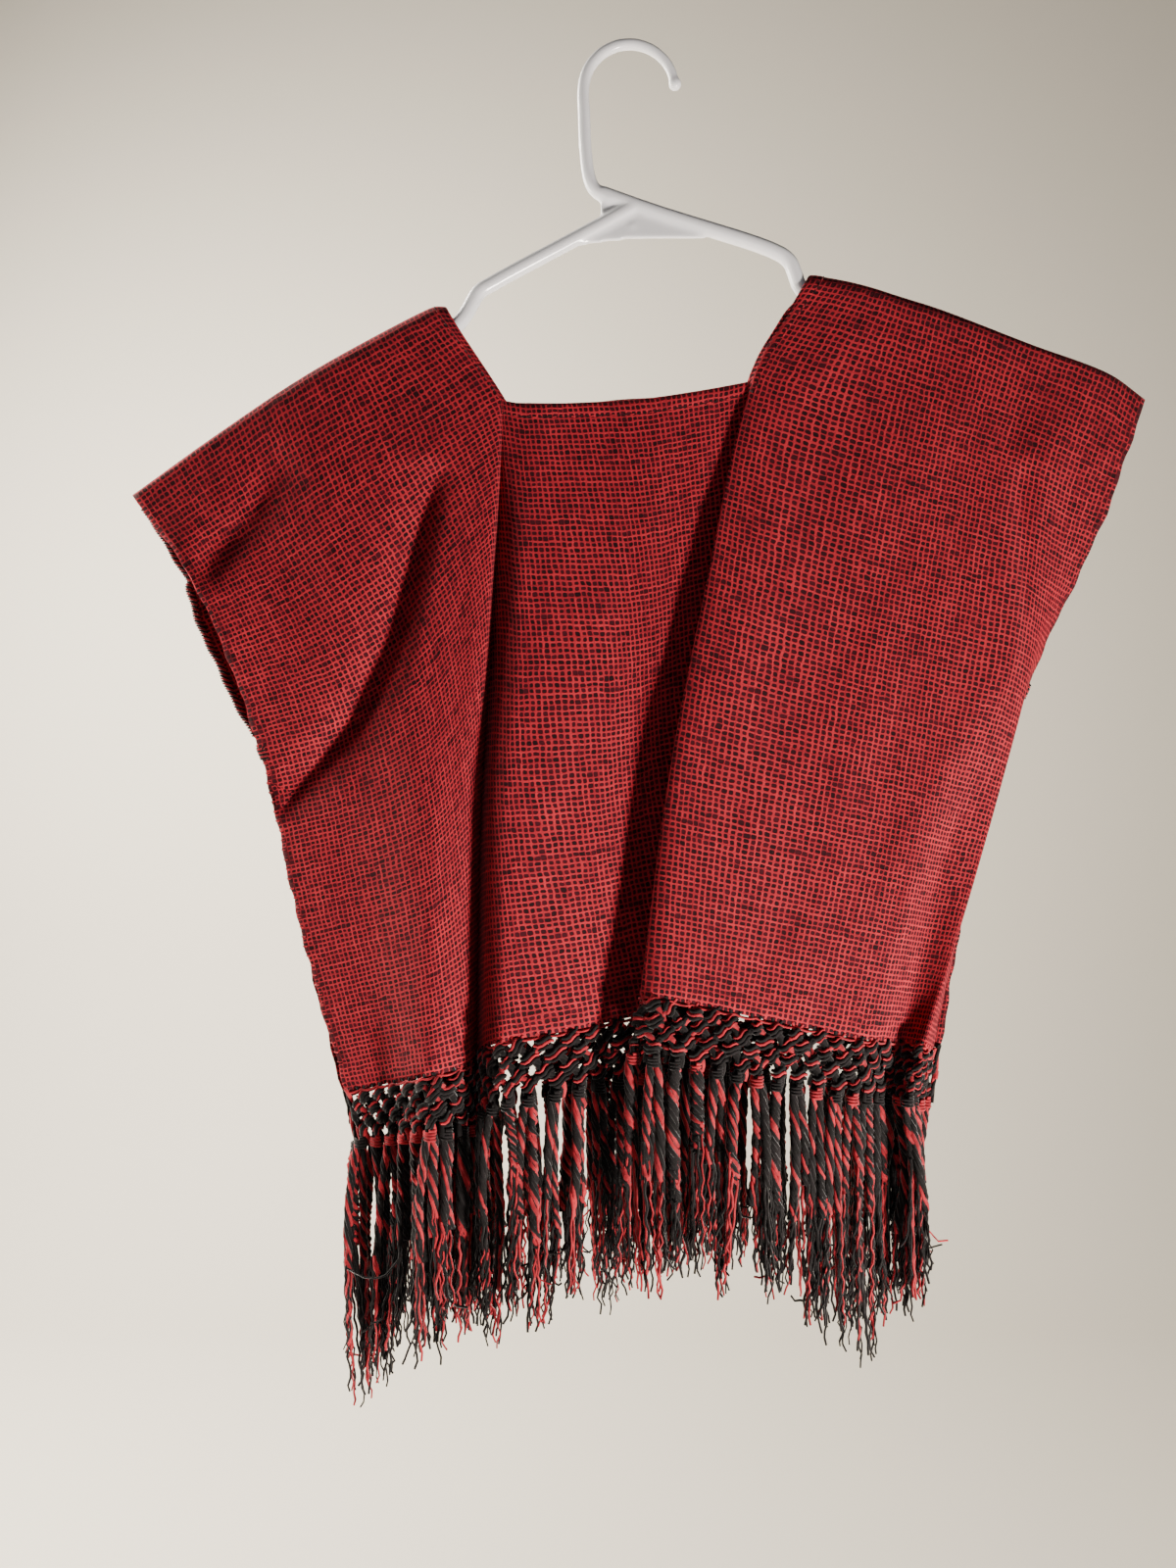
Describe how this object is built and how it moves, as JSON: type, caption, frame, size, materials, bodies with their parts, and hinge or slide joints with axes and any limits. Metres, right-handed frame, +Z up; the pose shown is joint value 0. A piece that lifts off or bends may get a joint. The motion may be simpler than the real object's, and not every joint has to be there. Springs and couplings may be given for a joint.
{
  "type": "woven poncho on a plastic hanger",
  "caption": "Small woven cotton poncho with a square neck slot, a knotted net band and twisted fringe, hung over a tubular plastic hanger.",
  "frame": {"origin": "the inner top of the hanger's hook, where it rests on a rail or a hook", "axes": "+Z up, the front of the garment faces -Y, +X to the right as seen from the front"},
  "size_m": [0.5945, 0.0664, 0.7943],
  "materials": {
    "cloth": "coarse plain weave of red cotton thread with small near-black checks",
    "knotted_yarn": "doubled red and black cotton yarns knotted into an open net",
    "fringe_yarn": "red and black cotton yarns twisted together, frayed at the tips",
    "hanger_plastic": "smooth glossy white moulded plastic"
  },
  "bodies": {
    "root": {"cloth_front": "cloth", "cloth_back": "cloth", "knotted_band_front": "knotted_yarn", "knotted_band_back": "knotted_yarn", "fringe_front": "fringe_yarn", "fringe_back": "fringe_yarn", "hanger_hook": "hanger_plastic", "hanger_right_arm": "hanger_plastic", "hanger_left_arm": "hanger_plastic", "hanger_bar": "hanger_plastic", "hanger_web": "hanger_plastic"}
  },
  "joints": []
}
